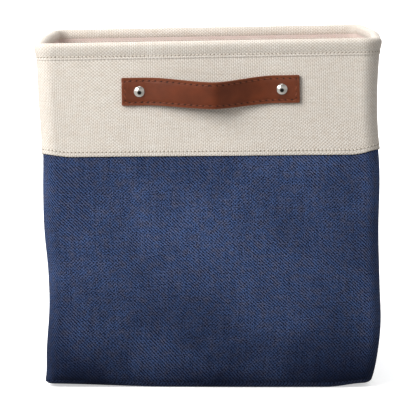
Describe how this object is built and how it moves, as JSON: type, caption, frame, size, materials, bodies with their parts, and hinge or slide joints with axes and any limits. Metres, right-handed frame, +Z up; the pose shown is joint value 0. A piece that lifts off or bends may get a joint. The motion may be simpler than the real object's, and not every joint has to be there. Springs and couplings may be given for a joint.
{
  "type": "fabric storage bin",
  "caption": "Open square fabric bin with a wired rim, a contrasting upper band, riveted leather strap handles front and rear, a lining and a loose base insert.",
  "frame": {"origin": "centre of the underside, on the floor", "axes": "-Y out of the front, +X to the right seen from the front, +Z up"},
  "size_m": [0.3302, 0.363, 0.3388],
  "materials": {
    "navy_cloth": "coarse two-tone weave, matte",
    "cream_cloth": "coarse weave, matte",
    "lining_cloth": "plain nonwoven, matte",
    "felt": "pressed felt",
    "wire": "drawn wire",
    "board": "grey-brown pressed board",
    "strap_leather": "smooth, semi-matte",
    "backing_leather": "suede side out",
    "rivet_metal": "polished nickel"
  },
  "bodies": {
    "bin": {"outer_wall": "navy_cloth", "outer_base": "navy_cloth", "upper_band": "cream_cloth", "rim_wire": "wire", "rim_wire_ferrule": "wire", "front_stiffener": "felt", "rear_stiffener": "felt", "left_stiffener": "felt", "right_stiffener": "felt", "lining_wall": "lining_cloth", "lining_base": "lining_cloth", "front_strap_left_end": "strap_leather", "front_backing_left_end": "backing_leather", "front_rivet_left": "rivet_metal", "front_rivet_left_back": "rivet_metal", "front_strap_right_end": "strap_leather", "front_backing_right_end": "backing_leather", "front_rivet_right": "rivet_metal", "front_rivet_right_back": "rivet_metal", "rear_strap_left_end": "strap_leather", "rear_backing_left_end": "backing_leather", "rear_rivet_left": "rivet_metal", "rear_rivet_left_back": "rivet_metal", "rear_strap_right_end": "strap_leather", "rear_backing_right_end": "backing_leather", "rear_rivet_right": "rivet_metal", "rear_rivet_right_back": "rivet_metal"},
    "base_insert": {"insert_board": "board", "insert_cover": "lining_cloth"},
    "front_handle": {"front_strap_grip": "strap_leather", "front_backing_grip": "backing_leather"},
    "rear_handle": {"rear_strap_grip": "strap_leather", "rear_backing_grip": "backing_leather"}
  },
  "joints": [
    {"name": "front_handle_lift", "type": "hinge", "parent": "bin", "child": "front_handle", "pos_m": [0.0025, -0.16336, 0.2888], "axis": [-0.9998, 0.0003, -0.0174], "range_deg": [-12, 28], "stiffness_Nm_per_rad": 0.05},
    {"name": "rear_handle_lift", "type": "hinge", "parent": "bin", "child": "rear_handle", "pos_m": [0, 0.16336, 0.2888], "axis": [0.9998, 0.0003, 0.0174], "range_deg": [-12, 28], "stiffness_Nm_per_rad": 0.05},
    {"name": "base_insert_lift", "type": "slide", "parent": "bin", "child": "base_insert", "axis": [0, 0, 1], "range_m": [0, 0.35]}
  ]
}
